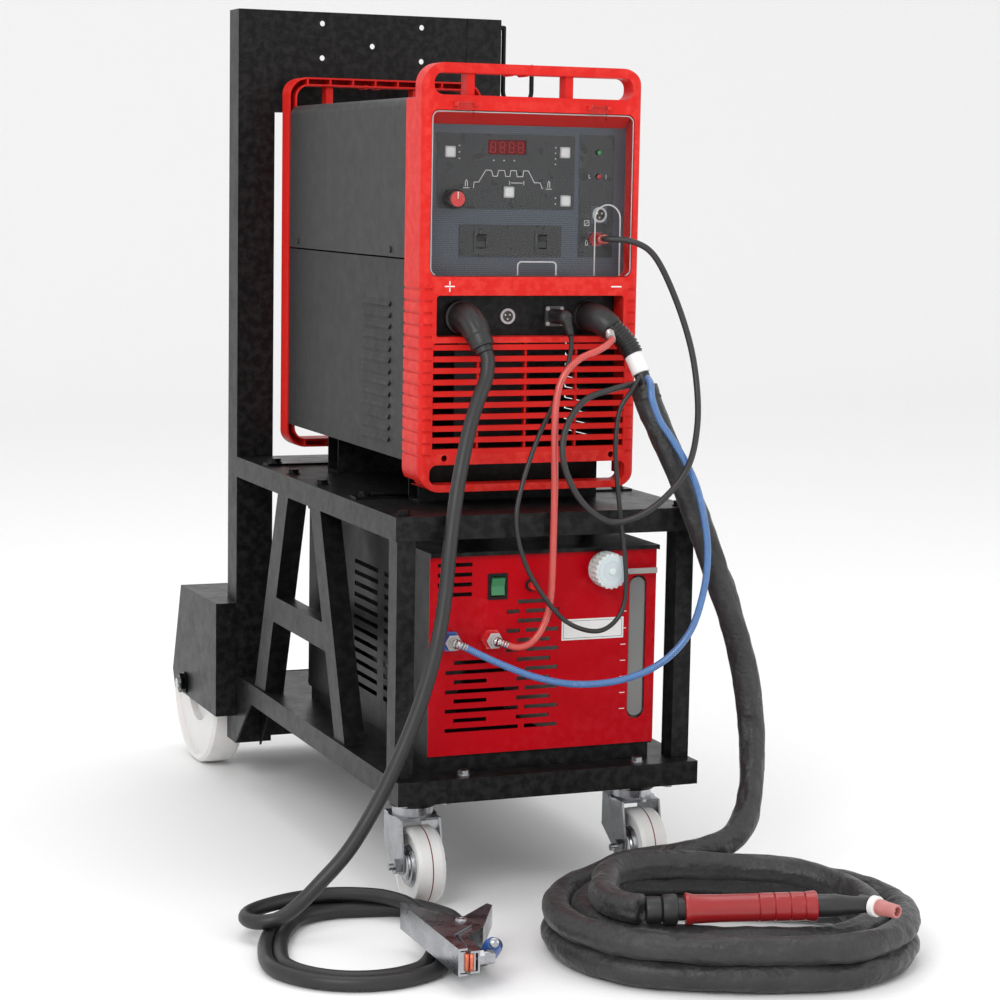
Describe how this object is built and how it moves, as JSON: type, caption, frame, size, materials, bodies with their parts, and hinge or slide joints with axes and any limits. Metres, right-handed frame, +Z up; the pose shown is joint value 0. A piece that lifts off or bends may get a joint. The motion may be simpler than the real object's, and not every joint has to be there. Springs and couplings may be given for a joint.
{
  "type": "TIG welder",
  "caption": "Water-cooled TIG welding set: power source on a two-tray trolley with a cooler below, gas-cylinder platform behind, torch and earth leads coiled in front.",
  "frame": {"origin": "on the floor, under the middle of the trolley and power source box, leads left out", "axes": "+Z up, -Y towards the control panel and the operator, +X to the right seen from the front"},
  "size_m": [0.7741, 1.4731, 1.15],
  "materials": {
    "black_frame": "semi-gloss black powder coat",
    "axle_steel": "turned bright steel",
    "white_nylon": "moulded nylon wheel",
    "zinc": "bright zinc plate",
    "red_plastic": "fine-textured red moulding",
    "grey_sheet": "fine dark grey powder coat",
    "panel_paint": "blue-grey panel with fine lines",
    "dark_window": "dark red display window",
    "grey_button": "satin light grey cap",
    "black_plastic": "satin black moulding",
    "lamp_green": "coloured lamp lens",
    "clear_plastic": "clear moulded cover",
    "inner_metal": "bare aluminium and steel",
    "deep_red": "smooth deep red paint",
    "green_rocker": "translucent green rocker",
    "milky_plastic": "natural moulded plastic",
    "black_rubber": "soft black rubber",
    "torch_red": "ribbed red handle moulding",
    "red_hose_pvc": "braided translucent red hose",
    "blue_hose_pvc": "braided translucent blue hose"
  },
  "bodies": {
    "root": {"upper_shelf": "black_frame", "lower_tray": "black_frame", "rear_posts": "black_frame", "back_plate": "black_frame", "cable_hook": "black_frame", "side_frames": "black_frame", "front_posts": "black_frame", "rear_base": "black_frame", "wheel_guards": "black_frame", "rear_axle": "axle_steel", "caster_plates": "zinc", "frame_bolts": "zinc", "front_frame": "red_plastic", "rear_frame": "red_plastic", "top_cover": "grey_sheet", "side_panels": "grey_sheet", "base_pan": "black_frame", "rear_panel": "grey_sheet", "control_panel": "panel_paint", "connector_panel": "black_frame", "display": "dark_window", "panel_lamps": "lamp_green", "panel_sockets": "zinc", "power_module": "inner_metal", "cooler_case": "black_frame", "cooler_panels": "deep_red", "coolant_tank": "milky_plastic", "hose_couplings": "zinc", "coolant_pump": "inner_metal", "earth_plug": "black_rubber", "earth_cable": "black_rubber", "earth_coil": "black_rubber", "earth_clamp": "zinc", "torch_plug": "black_rubber", "torch_sleeve": "black_rubber", "torch_coil": "black_rubber", "torch": "torch_red", "switch_plug": "black_rubber", "switch_cable": "black_rubber", "gas_hose": "black_rubber", "red_hose": "red_hose_pvc", "blue_hose": "blue_hose_pvc"},
    "caster_fork_left": {"caster_fork_left": "zinc"},
    "caster_fork_right": {"caster_fork_right": "zinc"},
    "caster_wheel_left": {"caster_wheel_left": "white_nylon"},
    "caster_wheel_right": {"caster_wheel_right": "white_nylon"},
    "rear_wheel_left": {"rear_wheel_left": "white_nylon"},
    "rear_wheel_right": {"rear_wheel_right": "white_nylon"},
    "clear_cover": {"clear_cover": "clear_plastic"},
    "encoder_knob": {"encoder_knob": "black_plastic"},
    "button_program": {"button_program": "grey_button"},
    "button_mode": {"button_mode": "grey_button"},
    "button_menu": {"button_menu": "grey_button"},
    "button_wave": {"button_wave": "grey_button"},
    "rocker_foot": {"rocker_foot": "black_plastic"},
    "rocker_water": {"rocker_water": "black_plastic"},
    "cooler_rocker": {"cooler_rocker": "green_rocker"},
    "filler_cap": {"filler_cap": "milky_plastic"},
    "fan_rotor": {"fan_rotor": "black_plastic"},
    "clamp_jaw": {"clamp_jaw": "zinc"}
  },
  "joints": [
    {"name": "caster_swivel_left", "type": "hinge", "parent": "root", "child": "caster_fork_left", "pos_m": [-0.166, -0.43, 0.115], "axis": [0, 0, 1], "continuous": true},
    {"name": "caster_roll_left", "type": "hinge", "parent": "caster_fork_left", "child": "caster_wheel_left", "pos_m": [-0.166, -0.46, 0.05], "axis": [1, 0, 0], "continuous": true},
    {"name": "caster_swivel_right", "type": "hinge", "parent": "root", "child": "caster_fork_right", "pos_m": [0.14, -0.43, 0.115], "axis": [0, 0, 1], "continuous": true},
    {"name": "caster_roll_right", "type": "hinge", "parent": "caster_fork_right", "child": "caster_wheel_right", "pos_m": [0.14, -0.46, 0.05], "axis": [1, 0, 0], "continuous": true},
    {"name": "rear_roll_left", "type": "hinge", "parent": "root", "child": "rear_wheel_left", "pos_m": [-0.2075, 0.3875, 0.125], "axis": [1, 0, 0], "continuous": true},
    {"name": "rear_roll_right", "type": "hinge", "parent": "root", "child": "rear_wheel_right", "pos_m": [0.1875, 0.3875, 0.125], "axis": [1, 0, 0], "continuous": true},
    {"name": "cover_hinge", "type": "hinge", "parent": "root", "child": "clear_cover", "pos_m": [-0.01, -0.4215, 1.001], "axis": [-1, 0, 0], "range_deg": [0, 110]},
    {"name": "knob_turn", "type": "hinge", "parent": "root", "child": "encoder_knob", "pos_m": [-0.11, -0.4, 0.8845], "axis": [0, -1, 0], "continuous": true},
    {"name": "press_program", "type": "slide", "parent": "root", "child": "button_program", "axis": [0, 1, 0], "range_m": [0, 0.0015], "stiffness_N_per_m": 600, "springref_m": -0.0006},
    {"name": "press_mode", "type": "slide", "parent": "root", "child": "button_mode", "axis": [0, 1, 0], "range_m": [0, 0.0015], "stiffness_N_per_m": 600, "springref_m": -0.0006},
    {"name": "press_menu", "type": "slide", "parent": "root", "child": "button_menu", "axis": [0, 1, 0], "range_m": [0, 0.0015], "stiffness_N_per_m": 600, "springref_m": -0.0006},
    {"name": "press_wave", "type": "slide", "parent": "root", "child": "button_wave", "axis": [0, 1, 0], "range_m": [0, 0.0015], "stiffness_N_per_m": 600, "springref_m": -0.0006},
    {"name": "tip_foot", "type": "hinge", "parent": "root", "child": "rocker_foot", "pos_m": [-0.0705, -0.3924, 0.832], "axis": [-1, 0, 0], "range_deg": [0, 16]},
    {"name": "tip_water", "type": "hinge", "parent": "root", "child": "rocker_water", "pos_m": [0.013, -0.3924, 0.832], "axis": [-1, 0, 0], "range_deg": [0, 16]},
    {"name": "tip_cooler", "type": "hinge", "parent": "root", "child": "cooler_rocker", "pos_m": [-0.0727, -0.4746, 0.4038], "axis": [-1, 0, 0], "range_deg": [0, 16]},
    {"name": "cap_turn", "type": "hinge", "parent": "root", "child": "filler_cap", "pos_m": [0.069, -0.5, 0.422], "axis": [0, -1, 0], "range_deg": [0, 360]},
    {"name": "fan_spin", "type": "hinge", "parent": "root", "child": "fan_rotor", "pos_m": [-0.01, 0.142, 0.7], "axis": [0, 1, 0], "continuous": true},
    {"name": "clamp_open", "type": "hinge", "parent": "root", "child": "clamp_jaw", "pos_m": [-0.21, -0.719, 0.04], "axis": [0, 0, 1], "range_deg": [0, 20], "stiffness_Nm_per_rad": 3, "springref_deg": -5.73}
  ]
}
